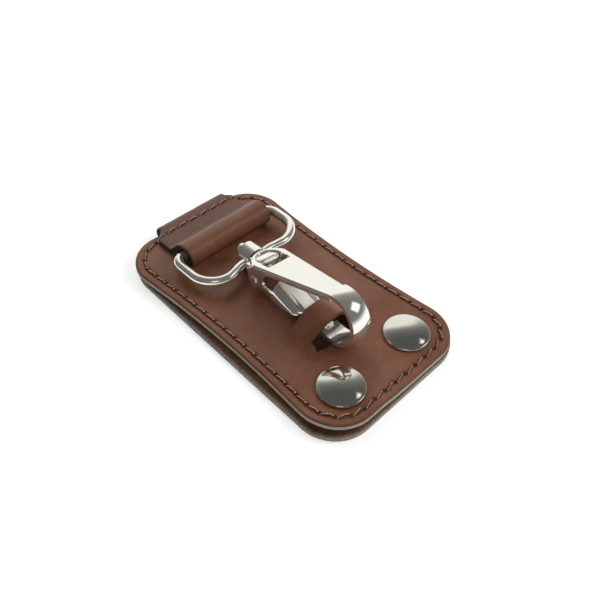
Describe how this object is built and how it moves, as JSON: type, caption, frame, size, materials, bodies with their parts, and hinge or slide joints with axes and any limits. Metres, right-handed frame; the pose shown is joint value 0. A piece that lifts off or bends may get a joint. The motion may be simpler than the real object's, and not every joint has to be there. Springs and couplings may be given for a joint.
{
  "type": "belt key clip",
  "caption": "Leather belt key clip with a snap-closed belt flap, stitched border and a swivel snap hook fastened round a leather bridge.",
  "frame": {"origin": "on the back of the belt flap, under the middle of the bounding box", "axes": "+X across the clip to the right seen from the front with the ring at the top, +Y along the clip towards the ring, +Z out of the front face"},
  "size_m": [0.0508, 0.0876, 0.0201],
  "materials": {
    "leather": "smooth, lightly glazed brown hide",
    "thread": "waxed brown thread",
    "nickel": "bright nickel plate",
    "spring_wire": "drawn spring wire"
  },
  "bodies": {
    "flap": {"back_flap": "leather", "snap_stud_left": "nickel", "snap_stud_right": "nickel", "stud_eyelet_left": "nickel", "stud_eyelet_right": "nickel"},
    "front": {"front_panel": "leather", "hook_keeper": "leather", "ring_strap": "leather", "flap_neck": "leather", "border_thread": "thread", "snap_cap_left": "nickel", "snap_cap_right": "nickel", "snap_socket_left": "nickel", "snap_socket_right": "nickel", "socket_spring_left": "spring_wire", "socket_spring_right": "spring_wire"},
    "eye": {"swivel_eye": "nickel"},
    "hook": {"hook_body": "nickel", "swivel_post": "nickel", "gate_pin": "nickel", "gate_spring": "spring_wire"},
    "gate": {"gate_lever": "nickel"}
  },
  "joints": [
    {"name": "flap_hinge", "type": "hinge", "parent": "flap", "child": "front", "pos_m": [0.0018, 0.0411, 0.0027], "axis": [-1, 0, 0], "range_deg": [0, 150], "deforming": ["flap_neck"]},
    {"name": "ring_swing", "type": "hinge", "parent": "front", "child": "eye", "pos_m": [0.00083, 0.02591, 0.00726], "axis": [-0.9993, 0.034, -0.0139], "range_deg": [0, 165], "deforming": ["hook_keeper"]},
    {"name": "hook_swivel", "type": "hinge", "parent": "eye", "child": "hook", "pos_m": [0.00038, 0.013, 0.00812], "axis": [-0.0348, -0.9972, 0.0663], "range_deg": [-8, 14], "deforming": ["hook_keeper"]},
    {"name": "gate_pivot", "type": "hinge", "parent": "hook", "child": "gate", "pos_m": [0.00003, 0.00543, 0.00732], "axis": [-0.9969, 0.0393, 0.0679], "range_deg": [0, 20], "stiffness_Nm_per_rad": 0.02, "springref_deg": -20.05, "deforming": ["hook_keeper", "gate_spring"]}
  ]
}
